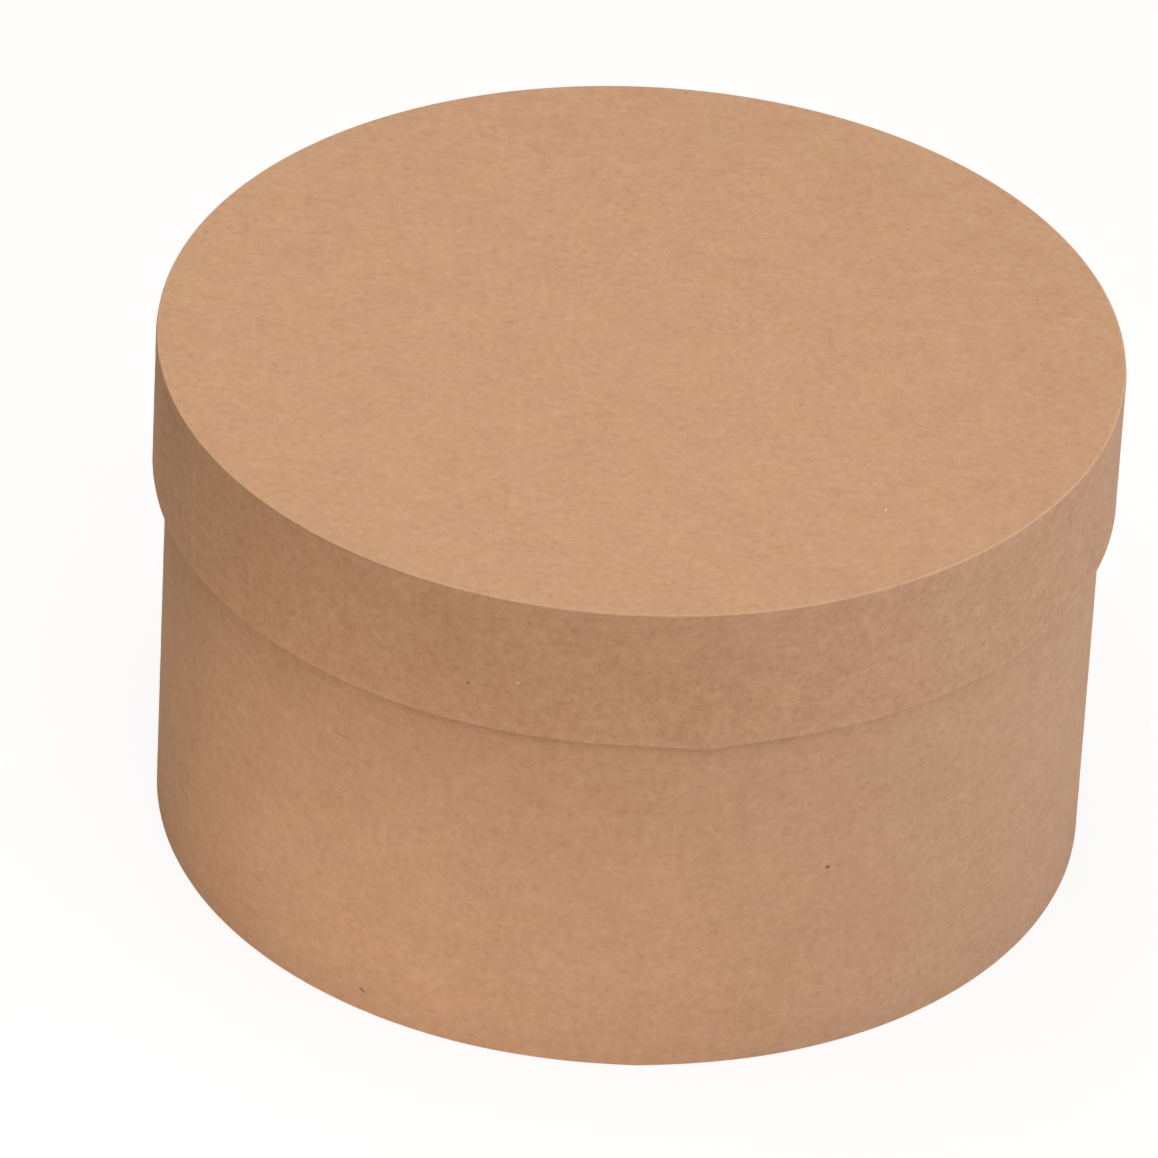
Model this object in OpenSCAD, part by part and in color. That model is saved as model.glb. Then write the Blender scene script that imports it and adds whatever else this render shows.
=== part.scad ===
// Round cardboard box with a lift-off lid, covered in plain brown kraft paper.
// Body and lid are both shallow trays: a rolled board ring, a flat board disc, a paper wrap that
// folds over both edges, and a paper lining. The lid is such a tray turned upside down.
// Millimetres, +Z up. The origin is the centre of the base, on the table.

/* [Overall size] */
// Outside diameter of the lid, which is the widest part of the box
lid_d = 200; // [140:1:320]
// Height of the closed box, from the table to the top of the lid
box_h = 113.5; // [90:0.5:200]
// Depth of the lid, from its top down to its lower edge
lid_h = 32; // [26:0.5:60]
// Play between the lid's lining and the body's wrap, all round
play = 0.6; // [0.5:0.05:1.5]

/* [Board] */
// Thickness of the board rolled into the body's wall
wall_t = 1.5; // [1.2:0.1:2.5]
// Thickness of the board rolled into the lid's rim
rim_t = 1.5; // [1.2:0.1:2.5]
// Thickness of the flat board disc in the base
base_disc_t = 2; // [1.2:0.1:3]
// Thickness of the flat board disc in the lid
lid_disc_t = 2; // [1.2:0.1:3]
// Gap left where the two ends of a rolled board meet
butt_gap = 0.4; // [0.2:0.1:1]
// Gap between a board disc and the ring that it sits in
disc_fit = 0.1; // [0.05:0.05:0.3]

/* [Paper] */
// Thickness of the covering paper
wrap_t = 0.2; // [0.1:0.05:0.3]
// Thickness of the lining paper inside the body and the lid
lining_t = 0.2; // [0.1:0.05:0.3]
// Thickness of the round sheet on top of the lid
top_sheet_t = 0.3; // [0.1:0.05:0.5]
// Thickness of the round sheet under the base
base_sheet_t = 0.2; // [0.1:0.05:0.5]
// Thickness of the tape behind each board joint
tape_t = 0.15; // [0.1:0.05:0.3]
// Film of glue between curved layers
glue_t = 0.05; // [0.02:0.01:0.1]
// Outside radius of the paper where it folds over a board edge
fold_r = 0.6; // [0.4:0.1:1]

/* [Turned-in edges] */
// How far the body's wrap is turned down inside its mouth
mouth_turn_in = 15; // [8:1:25]
// How far the lid's wrap is turned up inside its rim
rim_turn_in = 12; // [6:1:18]
// How far the body's wrap is turned under the base
base_flange = 12; // [6:1:20]
// How far the rim's wrap is turned over the top of the lid
top_flange = 10; // [6:1:20]
// Number of notches snipped in each turned-over edge so that it lies flat
snips = 36; // [16:1:48]
// Uncovered strip of turned-in wrap between a lining and the mouth
lining_step = 3; // [1:0.5:5]
// Height over which a lining steps up onto the turned-in wrap
lining_joggle = 1; // [0.5:0.1:2]
// Width of the lap where the two ends of a wrap are glued together
lap_w = 12; // [6:1:20]
// Width of the tape behind each board joint
tape_w = 20; // [12:1:30]
// Uncovered board between the end of a tape and the edges of its ring
tape_inset = 4; // [2:0.5:6]

/* [Round sheets] */
// How far the sheet under the base stays inside the body's edge
base_sheet_inset = 2.5; // [1:0.1:5]
// How far the top sheet stays inside the rim's outside face
top_sheet_inset = 0.3; // [0.1:0.05:1]
// Gap between a lining sheet and the lining strip around it
sheet_fit = 0.3; // [0.1:0.05:1]

/* [Where the joints lie] */
// Direction of the wall board's joint, in degrees from +X towards +Y
wall_butt_angle = -88; // [-180:1:180]
// Direction of the rim board's joint
rim_butt_angle = -80; // [-180:1:180]
// Direction of the lap in the body's wrap
wall_lap_angle = 128; // [-180:1:180]
// Direction of the lap in the rim's wrap
rim_lap_angle = 62; // [-180:1:180]

/* [Hidden] */

// A fold is never rounder than this share of the wall that it goes round
fold_limit_share = 0.45;
// Gap between a turned-over edge and the hollow pressed into the board for it
press_fit = 0.2;
// Gap between the tape and the hollow pressed into the board for it
tape_fit = 0.2;
// Run of cuts past the faces that they go through
overrun = 1;
// Steps in the arc of a fold
fold_steps = 5;
// Facets of a full turn
$fn = 180;

kraft = [0.80, 0.63, 0.48];
kraft_lining = [0.76, 0.60, 0.46];
greyboard = [0.62, 0.57, 0.50];
gummed_tape = [0.70, 0.54, 0.38];

// The lid is a tray of radius lid_r, and the body a tray that fits inside it with the play
lid_r = lid_d / 2;
lid_tray_h = lid_h - top_sheet_t;
lid_clear_r = mouth_r(lid_r, rim_t) - glue_t - lining_t;
body_r = lid_clear_r - play;
body_top = box_h - top_sheet_t - lid_disc_t - lining_t;
body_tray_h = body_top - base_sheet_t;

// Radii of the layers of a tray of outside radius r whose ring is t thick, from the outside in
function ring_outer_r(r) = r - wrap_t - glue_t;
function ring_inner_r(r, t) = ring_outer_r(r) - t;
function mouth_r(r, t) = ring_inner_r(r, t) - glue_t - wrap_t;
function lining_outer_r(r, t) = ring_inner_r(r, t) - glue_t;
function fold_radius(r, t) = min(fold_r, fold_limit_share * (r - mouth_r(r, t)));

// Points of an arc about [cr, cz], for the folds and rounded edges of a profile
function arc(cr, cz, radius, from, to) = [
    for (i = [0 : fold_steps])
        let (a = from + (to - from) * i / fold_steps)
            [cr + radius * cos(a), cz + radius * sin(a)]
];

// The trays are drawn with the flat side at z = 0 and the mouth up
module place_body() {
    translate([0, 0, base_sheet_t]) children();
}

module place_lid() {
    translate([0, 0, box_h - top_sheet_t]) mirror([0, 0, 1]) children();
}

// A round sheet of the given radius between two heights
module sheet(r, low, high) {
    translate([0, 0, low]) cylinder(r = r, h = high - low);
}

// A block that reaches outwards from the axis, for cutting or keeping part of a ring
module block(angle, w, near, far, low, high) {
    rotate([0, 0, angle]) translate([near, -w / 2, low]) cube([far - near, w, high - low]);
}

// A band of a ring, w wide along its face
module band(angle, w, inner, outer, low, high) {
    intersection() {
        rotate_extrude() translate([inner, low]) square([outer - inner, high - low]);
        block(angle, w, inner / 2, outer + overrun, low, high);
    }
}

// Rolled board: a strip bent round until its ends meet, with a hollow pressed in for the tape
module ring_board(r, h, t, disc_t, butt_angle) {
    outer = ring_outer_r(r);
    inner = ring_inner_r(r, t);
    edge_r = fold_radius(r, t) - wrap_t;
    difference() {
        rotate_extrude() polygon(concat(
            [[inner, wrap_t]],
            arc(outer - edge_r, wrap_t + edge_r, edge_r, -90, 0),
            arc(outer - edge_r, h - wrap_t - edge_r, edge_r, 0, 90),
            arc(inner + edge_r, h - wrap_t - edge_r, edge_r, 90, 180)
        ));
        block(butt_angle, butt_gap, inner - overrun, outer + overrun, -overrun, h + overrun);
        band(butt_angle, tape_w + 2 * tape_fit, inner - overrun, inner + tape_t + glue_t,
            disc_t + tape_inset - tape_fit, h - tape_inset + tape_fit);
    }
}

// Tape that closes the board's joint from the inside, pressed flush
module joint_tape(r, h, t, disc_t, butt_angle) {
    inner = ring_inner_r(r, t);
    band(butt_angle, tape_w, inner, inner + tape_t, disc_t + tape_inset, h - tape_inset);
}

// Flat board disc inside the ring. Its margin is pressed down for the turned-over wrap.
module disc_board(r, t, disc_t, flange) {
    edge = ring_inner_r(r, t) - disc_fit;
    pressed = r - flange - press_fit;
    rotate_extrude() polygon([
        [0, 0], [pressed, 0], [pressed, wrap_t], [edge, wrap_t], [edge, disc_t], [0, disc_t]
    ]);
}

// Paper wrap in one piece: turned over onto the disc, up the outside, round the mouth and down
// the inside. Notches let the flat edge lie flat, each as wide as the paper it has to lose.
module wrap(r, h, t, turn_in, flange, lap_angle) {
    mouth = mouth_r(r, t);
    fold = fold_radius(r, t);
    inside = fold - wrap_t;
    notch_w = 2 * PI * flange / snips;
    notch_foot = r - flange - overrun;
    difference() {
        union() {
            rotate_extrude() polygon(concat(
                [[mouth, h - turn_in]],
                arc(mouth + fold, h - fold, fold, 180, 90),
                arc(r - fold, h - fold, fold, 90, 0),
                arc(r - fold, fold, fold, 0, -90),
                [[r - flange, 0], [r - flange, wrap_t]],
                arc(r - fold, fold, inside, -90, 0),
                arc(r - fold, h - fold, inside, 0, 90),
                arc(mouth + fold, h - fold, inside, 90, 180),
                [[mouth + wrap_t, h - turn_in]]
            ));
            band(lap_angle, lap_w, r - wrap_t / 2, r + wrap_t, fold, h - fold);
        }
        for (i = [0 : snips - 1]) rotate([0, 0, i * 360 / snips])
            translate([0, 0, -overrun]) linear_extrude(wrap_t + 2 * overrun)
                polygon([[notch_foot, -notch_w / 2], [r - fold - wrap_t, 0], [notch_foot, notch_w / 2]]);
    }
}

// Lining strip: stands on the disc, steps in over the turned-in wrap and stops short of the mouth
module lining_strip(r, h, t, disc_t, turn_in) {
    low_r = lining_outer_r(r, t);
    high_r = mouth_r(r, t) - glue_t;
    step_top = h - turn_in - glue_t;
    rotate_extrude() polygon([
        [low_r, disc_t], [low_r, step_top - lining_joggle], [high_r, step_top], [high_r, h - lining_step],
        [high_r - lining_t, h - lining_step], [high_r - lining_t, step_top],
        [low_r - lining_t, step_top - lining_joggle], [low_r - lining_t, disc_t]
    ]);
}

// Radius of the round lining sheet that lies on the disc inside the lining strip
function lining_sheet_r(r, t) = lining_outer_r(r, t) - lining_t - sheet_fit;

// Body, from the table up
module base_sheet() {
    color(kraft) sheet(body_r - base_sheet_inset, 0, base_sheet_t);
}

module base_board() {
    color(greyboard) place_body() disc_board(body_r, wall_t, base_disc_t, base_flange);
}

module wall_board() {
    color(greyboard) place_body() ring_board(body_r, body_tray_h, wall_t, base_disc_t, wall_butt_angle);
}

module wall_joint_tape() {
    color(gummed_tape) place_body()
        joint_tape(body_r, body_tray_h, wall_t, base_disc_t, wall_butt_angle);
}

module wall_wrap() {
    color(kraft) place_body()
        wrap(body_r, body_tray_h, wall_t, mouth_turn_in, base_flange, wall_lap_angle);
}

module wall_lining() {
    color(kraft_lining) place_body()
        lining_strip(body_r, body_tray_h, wall_t, base_disc_t, mouth_turn_in);
}

module floor_lining() {
    color(kraft_lining) place_body()
        sheet(lining_sheet_r(body_r, wall_t), base_disc_t, base_disc_t + lining_t);
}

// Lid, the same tray upside down
module lid_board() {
    color(greyboard) place_lid() disc_board(lid_r, rim_t, lid_disc_t, top_flange);
}

module rim_board() {
    color(greyboard) place_lid() ring_board(lid_r, lid_tray_h, rim_t, lid_disc_t, rim_butt_angle);
}

module rim_joint_tape() {
    color(gummed_tape) place_lid() joint_tape(lid_r, lid_tray_h, rim_t, lid_disc_t, rim_butt_angle);
}

module rim_wrap() {
    color(kraft) place_lid() wrap(lid_r, lid_tray_h, rim_t, rim_turn_in, top_flange, rim_lap_angle);
}

module rim_lining() {
    color(kraft_lining) place_lid() lining_strip(lid_r, lid_tray_h, rim_t, lid_disc_t, rim_turn_in);
}

module lid_lining() {
    color(kraft_lining) place_lid()
        sheet(lining_sheet_r(lid_r, rim_t), lid_disc_t, lid_disc_t + lining_t);
}

module lid_top_sheet() {
    color(kraft) sheet(lid_r - top_sheet_inset, box_h - top_sheet_t, box_h);
}

base_sheet();
base_board();
wall_board();
wall_joint_tape();
wall_wrap();
wall_lining();
floor_lining();
lid_board();
rim_board();
rim_joint_tape();
rim_wrap();
rim_lining();
lid_lining();
lid_top_sheet();
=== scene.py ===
import math

import bmesh
import bpy
import numpy as np
from mathutils import Matrix, Vector


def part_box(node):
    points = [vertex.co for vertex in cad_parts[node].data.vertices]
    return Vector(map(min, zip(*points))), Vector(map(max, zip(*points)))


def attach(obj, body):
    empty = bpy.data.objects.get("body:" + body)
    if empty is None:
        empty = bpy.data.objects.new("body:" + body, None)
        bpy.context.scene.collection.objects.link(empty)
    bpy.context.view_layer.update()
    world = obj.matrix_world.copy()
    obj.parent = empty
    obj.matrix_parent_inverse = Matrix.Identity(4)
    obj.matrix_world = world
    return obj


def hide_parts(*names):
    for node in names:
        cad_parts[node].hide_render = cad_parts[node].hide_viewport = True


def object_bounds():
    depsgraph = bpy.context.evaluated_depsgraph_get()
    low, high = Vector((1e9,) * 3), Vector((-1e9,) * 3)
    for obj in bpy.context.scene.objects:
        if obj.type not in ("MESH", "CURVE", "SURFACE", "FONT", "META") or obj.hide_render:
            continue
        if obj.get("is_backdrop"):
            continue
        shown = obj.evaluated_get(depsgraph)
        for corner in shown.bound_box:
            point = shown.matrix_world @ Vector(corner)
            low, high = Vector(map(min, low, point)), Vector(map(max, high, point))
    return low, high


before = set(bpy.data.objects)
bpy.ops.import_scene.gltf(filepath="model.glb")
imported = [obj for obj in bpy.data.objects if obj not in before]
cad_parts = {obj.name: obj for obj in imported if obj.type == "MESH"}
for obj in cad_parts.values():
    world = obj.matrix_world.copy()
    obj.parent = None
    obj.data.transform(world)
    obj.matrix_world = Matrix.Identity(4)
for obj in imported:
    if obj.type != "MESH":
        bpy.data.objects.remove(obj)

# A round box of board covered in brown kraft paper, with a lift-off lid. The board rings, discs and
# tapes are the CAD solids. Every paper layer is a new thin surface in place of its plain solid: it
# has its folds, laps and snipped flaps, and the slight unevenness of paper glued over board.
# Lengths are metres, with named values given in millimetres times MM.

MM = 0.001
TURN = 2 * math.pi

cad_low, cad_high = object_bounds()

# Sizes of the two trays, read from the CAD parts. The lid is a tray upside down.
lid_low, lid_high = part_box("rim_wrap")
body_low, body_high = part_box("wall_wrap")
lid_r = lid_high.x
body_r = body_high.x
lid_depth = lid_high.z - lid_low.z
body_depth = body_high.z - body_low.z

# The paper. wall_t is the board ring with the wrap on both its sides, disc_t is the board disc.
paper_t = 0.2 * MM
glue_t = 0.05 * MM
fold_r = 0.6 * MM
wall_t = 2.0 * MM
disc_t = 2.0 * MM
lap_w = 12 * MM
lap_rise = 3 * MM
lining_step = 3 * MM
sheet_short = 0.15 * MM
snips = 36
mouth_turn_in = 15 * MM
rim_turn_in = 12 * MM
base_flange = 12 * MM
top_flange = 10 * MM

# How uneven hand-covered board is
out_of_round = 0.05 * MM
hand_wave = 0.03 * MM
edge_waver = 0.05 * MM
pucker = 0.08 * MM
knife_waver = 0.04 * MM
joint_reach = 15 * MM
foot_reach = 25 * MM
rubbed_width = 0.4 * MM

# Steps of the grids: round a wrap, a lining and a round sheet
wrap_steps = 440
lining_steps = 480
sheet_steps = 540

# Directions of the laps and of the board joints, in degrees from +X towards +Y
wall_lap_angle = 128
rim_lap_angle = 62
wall_joint_angle = -86
rim_joint_angle = -80
wall_lining_angle = 60
rim_lining_angle = 140


def smooth(x, low, high):
    """0 below low, 1 above high, and 3t^2 - 2t^3 between them."""
    t = np.clip((x - low) / (high - low), 0, 1)
    return t * t * (3 - 2 * t)


def ripple(angle, seed, orders):
    """Unevenness round the ring, from -1 to 1: the mean of one sine per order, each with its phase."""
    phase = np.random.default_rng(seed).uniform(0, TURN, len(orders))
    return sum(np.sin(k * angle + p) for k, p in zip(orders, phase)) / len(orders)


def apart(angle, centre):
    """Angle from a direction in degrees, brought into -pi to pi."""
    return (angle - math.radians(centre) + math.pi) % TURN - math.pi


def arch(angle, centre, width):
    """A pointed arch: 1 at a direction, falling as (1 - distance / width)^2 on both sides. Added to a
    circle it makes two nearly straight lengths that meet at a corner. width is an angle."""
    return np.clip(1 - np.abs(apart(angle, centre)) / width, 0, 1) ** 2


def bumps(angle, seed, orders, level=0.2):
    """Separate small rises round a ring, 0 to 1: what stands out of a ripple above a level."""
    return smooth(ripple(angle, seed, orders), level, 0.8)


# Meshes

def paper_piece(name, face, back, uv, wear_and_highlight, round_sheet=False):
    """A thin closed sheet from two grids of points, its face and its back, u by v by 3. The border is
    closed with strips of the sheet's thickness. On a round sheet u runs round and closes on itself,
    and v starts at the middle, where its points are merged into one."""
    nu, nv = face.shape[:2]
    i = np.arange(nu if round_sheet else nu - 1)
    a, b = np.meshgrid(i, np.arange(nv - 1), indexing="ij")
    nxt = (a + 1) % nu
    skin = np.stack([a * nv + b, nxt * nv + b, nxt * nv + b + 1, a * nv + b + 1], -1).reshape(-1, 4)
    size = nu * nv
    quads = [skin, skin[:, ::-1] + size]
    row = np.stack([i * nv, ((i + 1) % nu) * nv], -1)
    for v in ([nv - 1] if round_sheet else [0, nv - 1]):
        quads.append(np.concatenate([row + v, row[:, ::-1] + v + size], 1))
    if not round_sheet:
        col = np.stack([np.arange(nv - 1), np.arange(1, nv)], -1)
        for u in (0, nu - 1):
            quads.append(np.concatenate([col + u * nv, col[:, ::-1] + u * nv + size], 1))
    quads = np.concatenate(quads).astype(np.int32)

    mesh = bpy.data.meshes.new(name)
    mesh.vertices.add(2 * size)
    mesh.vertices.foreach_set("co", np.concatenate([face.reshape(-1, 3), back.reshape(-1, 3)]).ravel())
    mesh.loops.add(quads.size)
    mesh.loops.foreach_set("vertex_index", quads.ravel())
    mesh.polygons.add(len(quads))
    mesh.polygons.foreach_set("loop_start", np.arange(0, quads.size, 4, dtype=np.int32))
    mesh.update(calc_edges=True)
    flat_uv = np.tile(uv.reshape(-1, 2), (2, 1))
    mesh.uv_layers.new(name="paper").data.foreach_set("uv", flat_uv[quads.ravel()].ravel())
    worn_and_highlit = mesh.attributes.new("wear_and_highlight", "FLOAT", "POINT")
    worn_and_highlit.data.foreach_set("value", np.tile(wear_and_highlight.ravel(), 2).astype(np.float32))

    work = bmesh.new()
    work.from_mesh(mesh)
    if round_sheet:
        bmesh.ops.remove_doubles(work, verts=work.verts, dist=0.001 * MM)
    bmesh.ops.recalc_face_normals(work, faces=work.faces)
    work.to_mesh(mesh)
    work.free()
    mesh.shade_smooth()
    mesh.set_sharp_from_angle(angle=math.radians(50))
    piece = bpy.data.objects.new(name, mesh)
    bpy.context.collection.objects.link(piece)
    return piece


def wrap_path(r, depth, turn_in, flange):
    """The wrap's way round the board, in (radius, height) with the flat side at height 0: the end of
    the turn-in, the mouth's two folds, the outside, the fold to the flat side, the end of the flange.
    It is given as core points, which lie fold_r inside the paper's face, and the normals there, so
    that a straight moves the core and a fold turns the normal. Also the length along the paper."""
    mouth = r - wall_t
    near, far, top, low = mouth + fold_r, r - fold_r, depth - fold_r, fold_r
    corners = [(near, depth - turn_in), (near, top), (far, top), (far, low), (r - flange, low)]
    angles = [180, 90, 0, -90]
    steps = [8, 3, 10 + round((top - low) / (5 * MM)), 8]
    core, turn = [], []
    for k, n in enumerate(steps):
        share = np.linspace(0, 1, n + 1)[:, None]
        core.append(np.array(corners[k]) * (1 - share) + np.array(corners[k + 1]) * share)
        turn.append(np.full(n + 1, float(angles[k])))
        if k < len(steps) - 1:
            core.append(np.tile(corners[k + 1], (5, 1)))
            turn.append(np.linspace(angles[k], angles[k + 1], 7)[1:-1])
    core, turn = np.concatenate(core), np.radians(np.concatenate(turn))
    normal = np.stack([np.cos(turn), np.sin(turn)], -1)
    face = core + normal * fold_r
    along = np.concatenate([[0], np.cumsum(np.linalg.norm(np.diff(face, axis=0), axis=1))])
    folded = (np.abs(normal[:, 0]) > 0.02) & (np.abs(normal[:, 1]) > 0.02)
    return core, normal, along, folded


def tray_wrap(name, r, depth, turn_in, flange, lap_angle, joint, place, seed):
    """A strip of paper that goes once round the tray and laps over its own start. Its lift off the
    board is one paper thickness where it overlaps. The ring is a little out of round. At the board's
    joint the stiff ends make a pointed corner: joint gives its direction, how far it stands out at the
    mouth, how far the mouth hangs down there, and how far it stands out at the flat side. The turned-in
    paper is puckered at the mouth, and the flange has a notch at every snip."""
    core, normal, along, folded = wrap_path(r, depth, turn_in, flange)
    joint_angle, out_at_mouth, down_at_mouth, out_at_flat = joint
    start = math.radians(lap_angle) - lap_w / r / 2
    near = np.array([-1.0, -0.25, 0, 0.25, 1.0]) * MM / r
    at_snips = ((np.arange(snips)[:, None] * TURN / snips - start) % TURN + near).ravel()
    at_joint = (math.radians(joint_angle) - start) % TURN
    turned = np.linspace(0, TURN + lap_w / r, wrap_steps)
    turned = np.union1d(turned, at_snips[(at_snips > 0) & (at_snips < TURN)])
    turned = np.union1d(turned, [at_joint, TURN - lap_rise / r, TURN - lap_rise / 2 / r])
    angle = turned + start
    lift = smooth(turned, TURN - lap_rise / r, TURN) * paper_t
    A, H = angle[:, None], core[None, :, 1]
    outward = smooth(core[None, :, 0], r - wall_t / 2 - fold_r, r - fold_r)
    to_mouth = np.clip(H / depth, 0, 1)

    oval = -out_of_round * (1 + ripple(A, seed, (2, 3, 5, 8))) * np.ones_like(H)
    hand = hand_wave * ripple(A + 0.045 * H / MM, seed + 1, (13, 19, 27, 31)) - hand_wave
    corner = arch(A, joint_angle, joint_reach / r)
    to_flat = np.clip(1 - H / foot_reach, 0, 1)
    splay = corner * (out_at_mouth * to_mouth ** 2.5 + out_at_flat * to_flat ** 2)
    bulge = oval + (hand + splay) * outward
    hang = down_at_mouth * corner - edge_waver * (1 - ripple(A, seed + 2, (2, 5, 9, 14)))
    lip = hang * to_mouth ** 2
    inside = np.clip(-normal[None, :, 0], 0, 1) * smooth(H, depth - 3.4 * MM, depth - 2 * MM)
    bulge = bulge - inside * pucker * bumps(A, seed + 3, (53, 71, 89))
    notch = (r - fold_r - paper_t - core[None, :, 0]) * math.pi / snips
    beside = np.abs((A * snips / TURN + 0.5) % 1 - 0.5) * TURN / snips * r
    sunk = (normal[None, :, 1] < -0.9) * smooth(notch - beside, -0.05 * MM, 0.1 * MM) * 0.9 * paper_t

    grids = []
    for skin in (0, paper_t):
        off = fold_r - skin + lift[:, None] - (sunk if skin == 0 else 0)
        R = core[None, :, 0] + normal[None, :, 0] * off + bulge
        Z = core[None, :, 1] + normal[None, :, 1] * off + lip
        x, y = R * np.cos(A), R * np.sin(A)
        grids.append(np.stack([x, y, place(Z)], -1))
    uv = np.stack(np.broadcast_arrays((turned * r)[:, None], along[None, :]), -1)
    near_fold = np.abs(along[:, None] - along[folded][None, :]).min(1)
    rubbed = np.exp(-(near_fold / rubbed_width) ** 2) * np.where(core[:, 1] > depth / 2, 0.5, 0.2)
    wear_and_highlight = rubbed[None, :] * (0.6 + 0.4 * ripple(A, seed + 4, (7, 17, 29, 43)))
    return paper_piece(name, *grids, uv, wear_and_highlight)


def tray_lining(name, r, depth, turn_in, lap_angle, place, seed):
    """A strip of lining paper that stands on the disc and laps over its own start. Its inner radius
    steps in by one wrap thickness where it runs up onto the turned-in wrap."""
    low_r = r - wall_t + paper_t
    step_z = depth - turn_in
    top = depth - lining_step
    turned = np.linspace(0, TURN + lap_w / r, lining_steps)
    angle = turned + math.radians(lap_angle)
    step_low = step_z - 1.2 * MM
    H = np.concatenate([np.linspace(disc_t, step_low, 24)[:-1], np.linspace(step_low, step_z, 8)[:-1],
                        np.linspace(step_z, top, 12)])[None, :]
    A = angle[:, None]
    step_in = smooth(H, step_z - 1.1 * MM, step_z - 0.05 * MM) * (paper_t + glue_t)
    lift = smooth(turned, TURN - lap_rise / r, TURN)[:, None] * paper_t
    wave = -hand_wave * (1 + ripple(A + 0.4 * H / (30 * MM), seed, (3, 7, 12, 23)))
    edge = 0.15 * MM * ripple(A, seed + 1, (2, 3, 11)) * smooth(H, top - 6 * MM, top)
    grids = []
    for skin in (paper_t, 0):
        R = low_r - step_in - skin - lift + wave
        x, y = R * np.cos(A), R * np.sin(A)
        grids.append(np.stack([x, y, place(H + edge) * np.ones_like(A)], -1))
    uv = np.stack(np.broadcast_arrays((turned * r)[:, None], H), -1)
    wear_and_highlight = smooth(H, top - 0.5 * MM, top) * (0.5 + 0.3 * ripple(A, seed + 2, (9, 21, 37)))
    return paper_piece(name, *grids, uv, wear_and_highlight)


def round_sheet(name, r, thick, face_z, side, seed, over_fold=False):
    """A round sheet cut by a knife: the radius wavers a little, and the face is flat but for a faint
    waviness. side is +1 when the face looks up, -1 when down. Over a fold the sheet's last half
    millimetre follows the wrap's rounded corner, whose radius is fold_r."""
    near_edge = 1 - np.geomspace(2.2 * MM, 0.06 * MM, 12) / r
    share = np.concatenate([[0], np.linspace(0.03, 0.96, 24), near_edge, [1]])
    angle = np.linspace(0, TURN, sheet_steps, endpoint=False)[:, None]
    S = share[None, :]
    edge_r = r + knife_waver * (ripple(angle, seed, (1, 2, 3, 7, 13, 29)) - 1)
    R = S * edge_r
    x, y = R * np.cos(angle), R * np.sin(angle)
    wave = 0.02 * MM * (np.sin(x / (13 * MM) + 0.5 * np.sin(y / (17 * MM))) - 1) * (1 - S ** 8)
    wave = wave + 0.015 * MM * (np.sin(y / (9 * MM) + 1.3) - 1) * (1 - S ** 8)
    past = np.clip(R - (lid_r - fold_r), 0, 0.9 * fold_r) if over_fold else 0 * R
    inset = fold_r - np.sqrt(fold_r ** 2 - past ** 2)
    soft = 0.05 * MM * smooth(R, r - 0.15 * MM, r)
    grids = []
    for depth in (0, thick):
        z = face_z + side * (wave - inset - depth - (soft if depth == 0 else -soft))
        grids.append(np.stack([x, y, z], -1))
    uv = np.stack([x, y], -1)
    # The band along the cut edge is paler: partly the raw edge itself, and partly a painted highlight,
    # which on the top sheet stands for light caught along the lid's top edge.
    at_edge = smooth(R, r - 0.6 * MM, r - 0.2 * MM)
    wear_and_highlight = 1.5 * at_edge * (0.75 + 0.25 * ripple(angle, seed + 1, (11, 23, 41, 57)))
    return paper_piece(name, *grids, uv, wear_and_highlight, round_sheet=True)


# Materials

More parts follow.
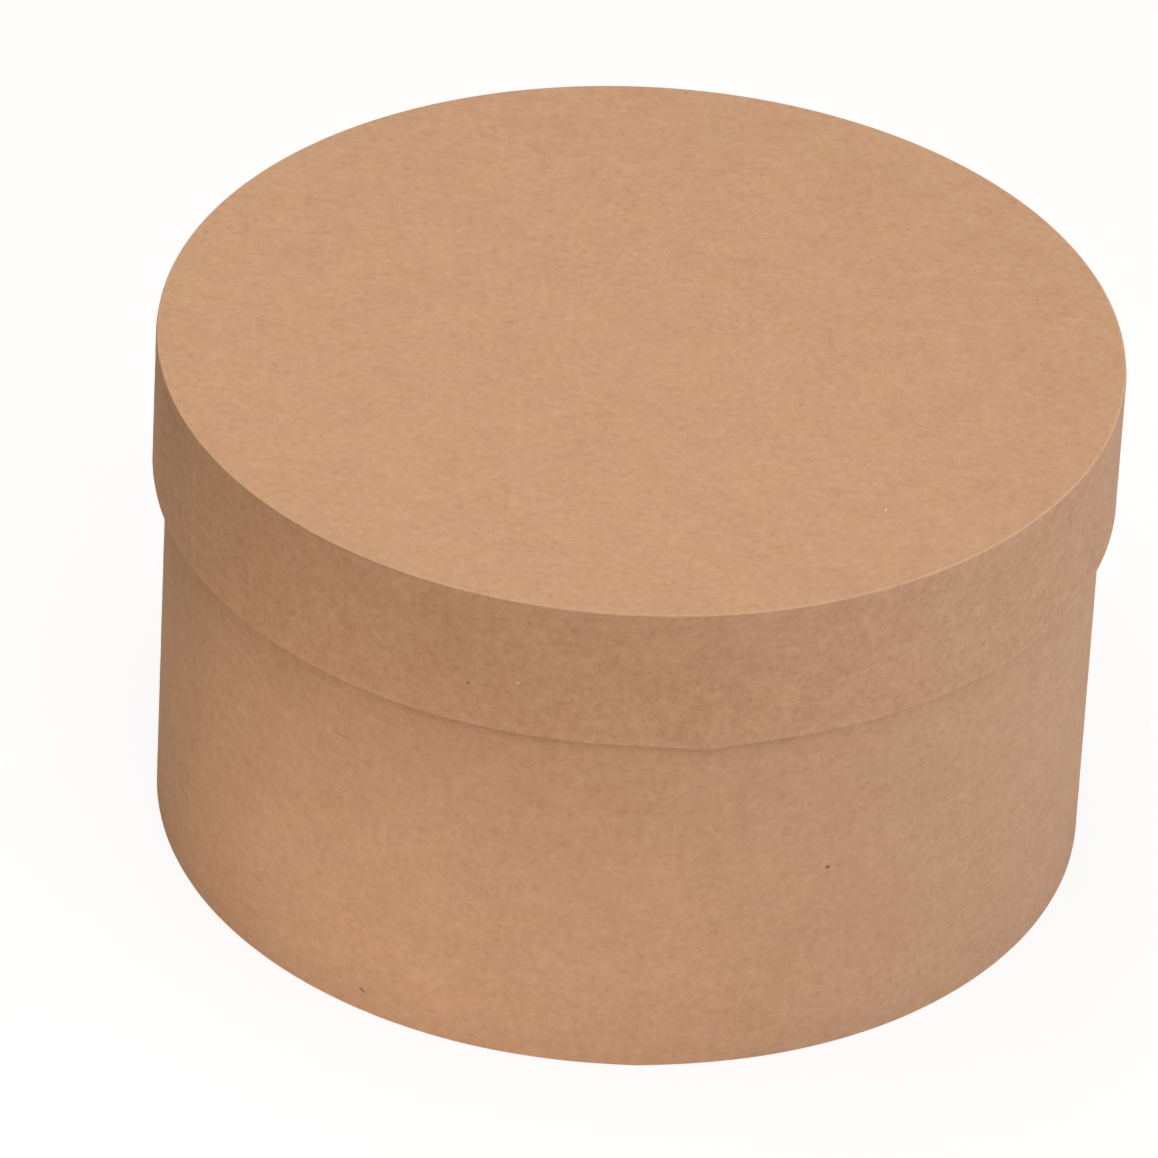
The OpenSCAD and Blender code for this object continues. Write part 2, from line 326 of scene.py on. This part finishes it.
class Shader:
    """A material or world whose nodes are added one by one, with their inputs given as values or links.
    surface is its own shader: a material's Principled BSDF, or a world's Background."""

    def __init__(self, owner):
        self.owner = owner
        owner.use_nodes = True
        self.tree = owner.node_tree
        self.surface = self.tree.nodes.get("Principled BSDF") or self.tree.nodes["Background"]
        self.column = 0

    def add(self, kind, inputs=(), out=0, **settings):
        node = self.tree.nodes.new("ShaderNode" + kind)
        self.column += 1
        node.location = (-180 * (self.column % 9) - 300, -220 * (self.column // 9))
        for key, value in settings.items():
            setattr(node, key, value)
        for key, value in dict(inputs).items():
            self.put(node.inputs[key], value)
        return node.outputs[out]

    def put(self, socket, value):
        if isinstance(value, bpy.types.NodeSocket):
            self.tree.links.new(value, socket)
        else:
            socket.default_value = value

    def math(self, operation, a, b=0.0, c=0.0, clamp=False):
        return self.add("Math", {0: a, 1: b, 2: c}, operation=operation, use_clamp=clamp)

    def noise(self, vector, size, detail=3.0, rough=0.55, twist=0.0):
        """Noise from 0 to 1 whose features are about size millimetres across."""
        return self.add("TexNoise", {"Vector": vector, "Scale": 1 / size, "Detail": detail,
                                     "Roughness": rough, "Distortion": twist})

    def ramp(self, value, low, high, first=0.0, last=1.0):
        return self.add("MapRange", {"Value": value, "From Min": low, "From Max": high,
                                     "To Min": first, "To Max": last}, interpolation_type="SMOOTHSTEP")

    def mix(self, share, a, b):
        node = self.tree.nodes.new("ShaderNodeMix")
        node.data_type = "RGBA"
        self.put(node.inputs["Factor"], share)
        self.put(node.inputs[6], a)
        self.put(node.inputs[7], b)
        return node.outputs[2]

    def dots(self, vector, cell, size, soft, share):
        """Round dots, one in a share of the cells of a Voronoi pattern: 1 within size of the cell's
        point, fading to 0 over soft. All are millimetres."""
        cells = self.tree.nodes.new("ShaderNodeTexVoronoi")
        self.put(cells.inputs["Vector"], vector)
        self.put(cells.inputs["Scale"], 1 / cell)
        far = self.math("MULTIPLY", cells.outputs["Distance"], cell)
        chance = self.add("SeparateColor", {0: cells.outputs["Color"]})
        near = self.ramp(far, size, size + soft, 1, 0)
        return self.math("MULTIPLY", near, self.math("LESS_THAN", chance, share))

    def light_path(self):
        return self.tree.nodes.new("ShaderNodeLightPath").outputs

    def finish(self, colour, roughness, height, relief, depth):
        """Joins a colour, a roughness and a bump to the surface. relief is the bump's strength and
        depth its distance."""
        bump = self.add("Bump", {"Height": height, "Strength": relief, "Distance": depth})
        for key, value in (("Base Color", colour), ("Roughness", roughness), ("Normal", bump)):
            self.put(self.surface.inputs[key], value)


def rgb(r, g, b):
    """A colour as a picture shows it, 0 to 255, turned into the linear values that Blender uses."""
    c = np.array([r, g, b]) / 255
    linear = np.where(c <= 0.04045, c / 12.92, ((c + 0.055) / 1.055) ** 2.4)
    return (*[float(v) for v in linear], 1.0)


def kraft_paper(name, dark, light, grain=1.0, marks=()):
    """Uncoated brown kraft: clouds of about 18 mm and blotches of 5 mm, close mottling, fine grain,
    small scattered pits, short curved fibres both darker and lighter, and sparse specks. Its hue drifts
    a little between yellower and pinker. The pattern lies on the paper's own length and width in
    millimetres, so it follows the sheet round its folds. Worn folds are paler. Cut edges are paler too:
    partly the raw edge itself, and partly a painted highlight along the lid's top edge.
    grain scales how strongly the clouds, mottling, pits and fibres show. marks are single flecks, in
    millimetres: (u, v, length, width, direction in degrees, how dark), the last below 0 if pale."""
    s = Shader(bpy.data.materials.new(name))
    flat = s.add("UVMap", uv_map="paper")
    mm = s.add("VectorMath", {0: flat, "Scale": 1 / MM}, operation="SCALE")
    cloud = s.noise(mm, 18, 2)
    blotch = s.noise(mm, 5, 2)
    mottle = s.noise(mm, 1.8, 3, 0.6)
    fine = s.noise(mm, 0.45, 2, 0.6)
    pits = s.ramp(s.noise(mm, 1.9, 1), 0.58, 0.76)

    def fibres(offset, size, width, share):
        moved = s.add("VectorMath", {0: mm, 1: offset})
        line = s.math("ABSOLUTE", s.math("SUBTRACT", s.noise(moved, size, 2, 0.5, 1.7), 0.5))
        kept = s.ramp(s.noise(moved, 2.0, 1), share, share + 0.07)
        return s.math("MULTIPLY", s.ramp(line, 0.0, width, 1, 0), kept)

    dark_fibre = fibres((0.0, 0.0, 0.0), 3.4, 0.012, 0.55)
    pale_fibre = fibres((37.0, 11.0, 5.0), 3.0, 0.014, 0.57)

    # Paler at folds and cut edges: real wear at the folds, and at the cut edges partly a painted
    # highlight.
    worn_and_highlit = s.add("Attribute", attribute_name="wear_and_highlight", out=2)
    tone = s.math("MULTIPLY_ADD", worn_and_highlit, 0.32, 0.5)
    for layer, middle, gain in (
            (cloud, 0.5, 0.32), (blotch, 0.5, 0.42), (mottle, 0.5, 0.76), (fine, 0.5, 0.34),
            (pits, 0.1, -0.18), (dark_fibre, 0.05, -0.16), (pale_fibre, 0.05, 0.18)):
        tone = s.math("MULTIPLY_ADD", s.math("SUBTRACT", layer, middle), gain * grain, tone)
    colour = s.mix(s.math("ADD", tone, 0.0, clamp=True), dark, light)
    hue = s.ramp(s.noise(s.add("VectorMath", {0: mm, 1: (5.0, 91.0, 0.0)}), 12, 3), 0.3, 0.7)
    tint = s.mix(hue, (1.0, 1.004, 0.987, 1), (1.0, 0.991, 1.013, 1))
    colour = s.add("VectorMath", {0: colour, 1: tint}, operation="MULTIPLY")

    # Sparse specks, one cell in a few: dark shives and pale dots
    for offset, cell, size, share, shade in ((3.0, 9.0, 0.16, 0.22, rgb(128, 92, 62)),
                                             (71.0, 14.0, 0.13, 0.16, rgb(222, 190, 160))):
        moved = s.add("VectorMath", {0: mm, 1: (offset, offset / 2, 0.0)})
        speck = s.dots(moved, cell, size, 0.4, share)
        colour = s.mix(s.math("MULTIPLY", speck, 0.3), colour, shade)

    # Single flecks: soft ellipses, and hairs that bend a little
    for u, v, length, width, direction, dark_share in marks:
        here = s.add("VectorMath", {0: mm, 1: (u, v, 0.0)}, operation="SUBTRACT")
        lean = math.radians(direction)
        along = (math.cos(lean), math.sin(lean), 0.0)
        beside = (-math.sin(lean), math.cos(lean), 0.0)
        far = s.add("VectorMath", {0: here, 1: along}, operation="DOT_PRODUCT", out=1)
        across = s.add("VectorMath", {0: here, 1: beside}, operation="DOT_PRODUCT", out=1)
        bend = 0.03 if length > 2 else 0.0
        bent = s.math("MULTIPLY_ADD", s.math("MULTIPLY", far, far), bend, across)
        reach = s.math("POWER", s.math("DIVIDE", far, length / 2), 2.0)
        reach = s.math("ADD", s.math("POWER", s.math("DIVIDE", bent, width / 2), 2.0), reach)
        shade = rgb(112, 74, 46) if dark_share > 0 else rgb(232, 205, 178)
        cover = s.math("MULTIPLY", s.ramp(reach, 0.2, 1.6, 1, 0), abs(dark_share))
        colour = s.mix(cover, colour, shade)

    height = s.math("MULTIPLY_ADD", mottle, 0.4, fine)
    height = s.math("MULTIPLY_ADD", pale_fibre, 0.3, height)
    height = s.math("MULTIPLY_ADD", pits, -0.4, height)
    s.finish(colour, s.ramp(mottle, 0.2, 0.8, 0.94, 0.84), height, 0.15, 0.03 * MM)
    s.surface.inputs["Specular IOR Level"].default_value = 0.2
    s.surface.inputs["Sheen Weight"].default_value = 0.05
    s.surface.inputs["Sheen Roughness"].default_value = 0.6
    return s.owner


def greyboard():
    """Raw recycled board: grey-brown pulp with coarse clouds, fine grain and dark specks."""
    s = Shader(bpy.data.materials.new("greyboard"))
    spot = s.add("TexCoord", out=3)
    mm = s.add("VectorMath", {0: spot, "Scale": 1 / MM}, operation="SCALE")
    pulp = s.noise(mm, 3.0, 5, 0.65, 0.5)
    fine = s.noise(mm, 0.5, 3, 0.6)
    tone = s.math("MULTIPLY_ADD", s.math("SUBTRACT", pulp, 0.5), 1.1, 0.5)
    tone = s.math("MULTIPLY_ADD", s.math("SUBTRACT", fine, 0.5), 0.8, tone)
    colour = s.mix(s.math("ADD", tone, 0.0, clamp=True), rgb(138, 126, 112), rgb(182, 170, 153))
    speck = s.dots(mm, 3.0, 0.1, 0.25, 0.35)
    colour = s.mix(s.math("MULTIPLY", speck, 0.6), colour, rgb(84, 74, 64))
    height = s.math("MULTIPLY_ADD", fine, 0.6, pulp)
    s.finish(colour, s.ramp(fine, 0.2, 0.8, 0.95, 0.85), height, 0.5, 0.1 * MM)
    s.surface.inputs["Specular IOR Level"].default_value = 0.25
    return s.owner


def gummed_tape():
    """Smooth brown tape with fine fibres along its length and a slight glaze."""
    s = Shader(bpy.data.materials.new("gummed_tape"))
    spot = s.add("TexCoord", out=3)
    mm = s.add("VectorMath", {0: spot, 1: (1 / MM, 1 / MM, 0.12 / MM)}, operation="MULTIPLY")
    fibre = s.noise(mm, 0.5, 4, 0.6)
    cloud = s.noise(mm, 5.0, 2)
    tone = s.math("MULTIPLY_ADD", s.math("SUBTRACT", fibre, 0.5), 0.9, cloud)
    colour = s.mix(tone, rgb(150, 108, 68), rgb(190, 148, 104))
    s.finish(colour, s.ramp(fibre, 0.2, 0.8, 0.62, 0.5), fibre, 0.3, 0.04 * MM)
    return s.owner


def dress(piece, body, slot, material, *nodes):
    """Gives a new piece its material and its body, and hides the CAD nodes that it stands for. slot is
    not used.
    """
    piece.data.materials.append(material)
    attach(piece, body)
    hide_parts(*nodes)


# Flecks that the photograph shows, given as kraft_paper's marks. On the round top sheet u and v are x
# and y. On a wrap they are given by direction and height, and u is then the way round from the lap's
# start and v the way along the paper from the end of the turn-in.
def on_wrap(angle, height, r, lap_angle, mouth_z, turn_in):
    """Where a point at this direction and height lies on the paper of a wrap, in millimetres."""
    start = math.radians(lap_angle) - lap_w / r / 2
    around = (math.radians(angle) - start) % TURN * r
    quarter = math.pi / 2 * fold_r
    over_mouth = (turn_in - fold_r) + quarter + (wall_t - 2 * fold_r) + quarter
    down = abs(mouth_z - height * MM) - fold_r
    return around / MM, (over_mouth + down) / MM


def wall_marks(*rows):
    wrap = (body_r, wall_lap_angle, body_high.z, mouth_turn_in)
    return [(*on_wrap(angle, height, *wrap), *rest) for angle, height, *rest in rows]


def rim_marks(*rows):
    wrap = (lid_r, rim_lap_angle, lid_low.z, rim_turn_in)
    return [(*on_wrap(angle, height, *wrap), *rest) for angle, height, *rest in rows]


kraft_dark, kraft_light = rgb(183, 139, 103), rgb(217, 174, 136)
rim_dark, rim_light = rgb(182, 137, 101), rgb(216, 172, 133)
rim_grain = 1.3
top_flecks = [(50.8, -57.5, 0.9, 0.5, 60, -0.85), (-27.3, 4.8, 1.3, 0.5, 35, 0.5)]
rim_flecks = rim_marks((-108.3, 91.6, 0.9, 0.6, 0, 0.65), (-102.4, 94.1, 0.9, 0.7, 20, -0.6))
wall_flecks = wall_marks((-63.6, 45.5, 1.1, 0.8, 10, 0.85), (-125.9, 65.9, 5.0, 0.35, 0, 0.4),
                         (-121.2, 5.6, 1.8, 0.8, 20, 0.6), (-95.2, 40.3, 0.8, 0.5, 0, 0.35),
                         (-90.2, 19.1, 0.8, 0.5, 40, 0.35))
top_paper = kraft_paper("kraft_top", kraft_dark, kraft_light, marks=top_flecks)
rim_paper = kraft_paper("kraft_rim", rim_dark, rim_light, rim_grain, rim_flecks)
wall_paper = kraft_paper("kraft_wall", kraft_dark, kraft_light, marks=wall_flecks)
lining_paper = kraft_paper("kraft_lining", rgb(180, 136, 102), rgb(212, 170, 134))
board, tape = greyboard(), gummed_tape()


# Pieces

def up_from(z):
    return lambda height: z + height


def down_from(z):
    return lambda height: z - height


on_base, under_top = up_from(body_low.z), down_from(lid_high.z)

wall = tray_wrap("wall_wrap_paper", body_r, body_depth, mouth_turn_in, base_flange, wall_lap_angle,
                 (wall_joint_angle, 0.15 * MM, 0, 0.3 * MM), on_base, 11)
dress(wall, "body", "kraft_paper", wall_paper, "wall_wrap")
rim = tray_wrap("rim_wrap_paper", lid_r, lid_depth, rim_turn_in, top_flange, rim_lap_angle,
                (rim_joint_angle, 1.15 * MM, 0.4 * MM, 0), under_top, 23)
dress(rim, "lid", "kraft_paper", rim_paper, "rim_wrap")

wall_lining = tray_lining("wall_lining_paper", body_r, body_depth, mouth_turn_in, wall_lining_angle,
                          on_base, 31)
dress(wall_lining, "body", "lining_paper", lining_paper, "wall_lining")
rim_lining = tray_lining("rim_lining_paper", lid_r, lid_depth, rim_turn_in, rim_lining_angle,
                         under_top, 37)
dress(rim_lining, "lid", "lining_paper", lining_paper, "rim_lining")

low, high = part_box("lid_top_sheet")
top = round_sheet("top_sheet_paper", lid_r - sheet_short, high.z - low.z, high.z, 1, 41, over_fold=True)
dress(top, "lid", "kraft_paper", top_paper, "lid_top_sheet")
for name, node, body, side, seed, paper, slot in (
        ("base_sheet_paper", "base_sheet", "body", -1, 43, wall_paper, "kraft_paper"),
        ("floor_lining_paper", "floor_lining", "body", 1, 47, lining_paper, "lining_paper"),
        ("lid_lining_paper", "lid_lining", "lid_seat", -1, 53, lining_paper, "lining_paper")):
    low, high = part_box(node)
    sheet = round_sheet(name, high.x, high.z - low.z, high.z if side > 0 else low.z, side, seed)
    dress(sheet, body, slot, paper, node)

for node, material in (("base_board", board), ("wall_board", board), ("lid_board", board),
                       ("rim_board", board), ("wall_joint_tape", tape), ("rim_joint_tape", tape)):
    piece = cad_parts[node]
    piece.data.materials.clear()
    piece.data.materials.append(material)


# Camera: a long lens above the front of the box, rolled a little, with the box to the right of centre
picture = 1158
lens_pixels = 12000
camera_elevation = math.radians(34.12)
camera_roll = math.radians(3.04)
camera_distance = 24.69 * lid_r
right_of_centre = 0.1293 * lid_r
above_centre = 0.4881 * lid_r

camera_data = bpy.data.cameras.new("camera")
camera_data.sensor_width = 36
camera_data.lens = lens_pixels / picture * camera_data.sensor_width
camera = bpy.data.objects.new("camera", camera_data)
bpy.context.collection.objects.link(camera)
bpy.context.scene.camera = camera
back = Vector((0, -math.cos(camera_elevation), math.sin(camera_elevation)))
across = Matrix.Rotation(camera_roll, 3, back) @ Vector((1, 0, 0))
upward = back.cross(across)
lid_centre = Vector((0, 0, cad_high.z))
camera.location = lid_centre + back * camera_distance - across * right_of_centre - upward * above_centre
camera.rotation_euler = Matrix((across, upward, back)).transposed().to_euler()
camera_data.clip_start, camera_data.clip_end = 0.05, 50


# Studio: soft lamps round the box and a pale floor. Warm light comes from above and from high in
# front, cool light from the right. Two low strips in front keep the foot of the wall bright, and a
# lamp behind lights the far side.

def softbox(name, direction, far, height, size, power, colour, aim=(0, 0, 0.06), tall=None):
    """A soft lamp at a direction in degrees, a distance from the box's axis and a height, that faces
    aim. It lights the scene but isn't seen itself. tall is its height when that isn't its width."""
    turn = math.radians(direction)
    place = Vector((far * math.cos(turn), far * math.sin(turn), height))
    data = bpy.data.lights.new(name, "AREA")
    data.shape = "RECTANGLE"
    data.size, data.size_y = size, tall or size
    data.energy = power
    data.color = colour
    lamp = bpy.data.objects.new(name, data)
    lamp.location = place
    lamp.rotation_euler = (place - Vector(aim)).to_track_quat("Z", "Y").to_euler()
    lamp.visible_camera = False
    bpy.context.collection.objects.link(lamp)


softbox("overhead", -150, 0.09, 0.8, 0.4, 2.8, (1.0, 0.96, 0.91), aim=(-0.05, -0.03, 0))
softbox("high_front", -84, 0.96, 1.15, 0.7, 5.5, (1.0, 0.91, 0.9))
softbox("window_right", -45, 1.62, 0.575, 0.9, 5.0, (0.72, 0.82, 1.0))
softbox("right", -15, 1.64, 0.49, 0.9, 9.2, (0.74, 0.83, 1.0))
softbox("back_right", 25, 1.64, 0.49, 0.9, 4.8, (0.74, 0.83, 1.0))
softbox("behind", 104, 1.54, 0.77, 0.9, 9.0, (1.0, 0.95, 0.86))
foot = (0, 0, 0.012)
softbox("low_front_left", -131, 0.25, 0.012, 0.14, 0.053, (1.0, 0.93, 0.88), aim=foot, tall=0.02)
softbox("foot_front", -110, 0.17, 0.012, 0.28, 0.025, (1.0, 0.94, 1.0), aim=foot, tall=0.016)

# The world is white to the camera and in reflections, and lights the box only a little, warmly
sky = Shader(bpy.data.worlds.new("studio"))
bpy.context.scene.world = sky.owner
ray = sky.light_path()
seen = sky.math("MAXIMUM", ray["Is Camera Ray"], ray["Is Glossy Ray"])
strength = sky.add("MapRange", {"Value": seen, "To Min": 0.02, "To Max": 1.0})
sky.put(sky.surface.inputs["Strength"], strength)
sky.put(sky.surface.inputs["Color"], sky.mix(seen, (1.0, 0.85, 0.6, 1), (1, 1, 1, 1)))

# The floor is a warm pale paint, mostly white to the camera, and clear from below
floor_half = 15.0
floor_corners = [(x * floor_half, y * floor_half, 0) for x, y in ((-1, -1), (1, -1), (1, 1), (-1, 1))]
floor_mesh = bpy.data.meshes.new("floor")
floor_mesh.from_pydata(floor_corners, [], [(0, 1, 2, 3)])
floor = bpy.data.objects.new("floor", floor_mesh)
bpy.context.collection.objects.link(floor)
floor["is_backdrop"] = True
paint = Shader(bpy.data.materials.new("pale_floor"))
paint.put(paint.surface.inputs["Base Color"], (0.80, 0.74, 0.66, 1))
paint.put(paint.surface.inputs["Roughness"], 0.9)
paint.surface.inputs["Specular IOR Level"].default_value = 0.1
white = paint.add("Emission", {"Color": (1, 1, 1, 1), "Strength": 1.1})
to_eye = paint.math("MULTIPLY", paint.light_path()["Is Camera Ray"], 0.80)
bright = paint.add("MixShader", {0: to_eye, 1: paint.surface.outputs[0], 2: white})
clear = paint.add("BsdfTransparent")
below = paint.add("NewGeometry", out=6)
shown = paint.add("MixShader", {0: below, 1: bright, 2: clear})
paint.tree.links.new(shown, paint.tree.nodes["Material Output"].inputs["Surface"])
floor_mesh.materials.append(paint.owner)

view = bpy.context.scene.view_settings
view.view_transform = "Standard"

low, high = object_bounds()
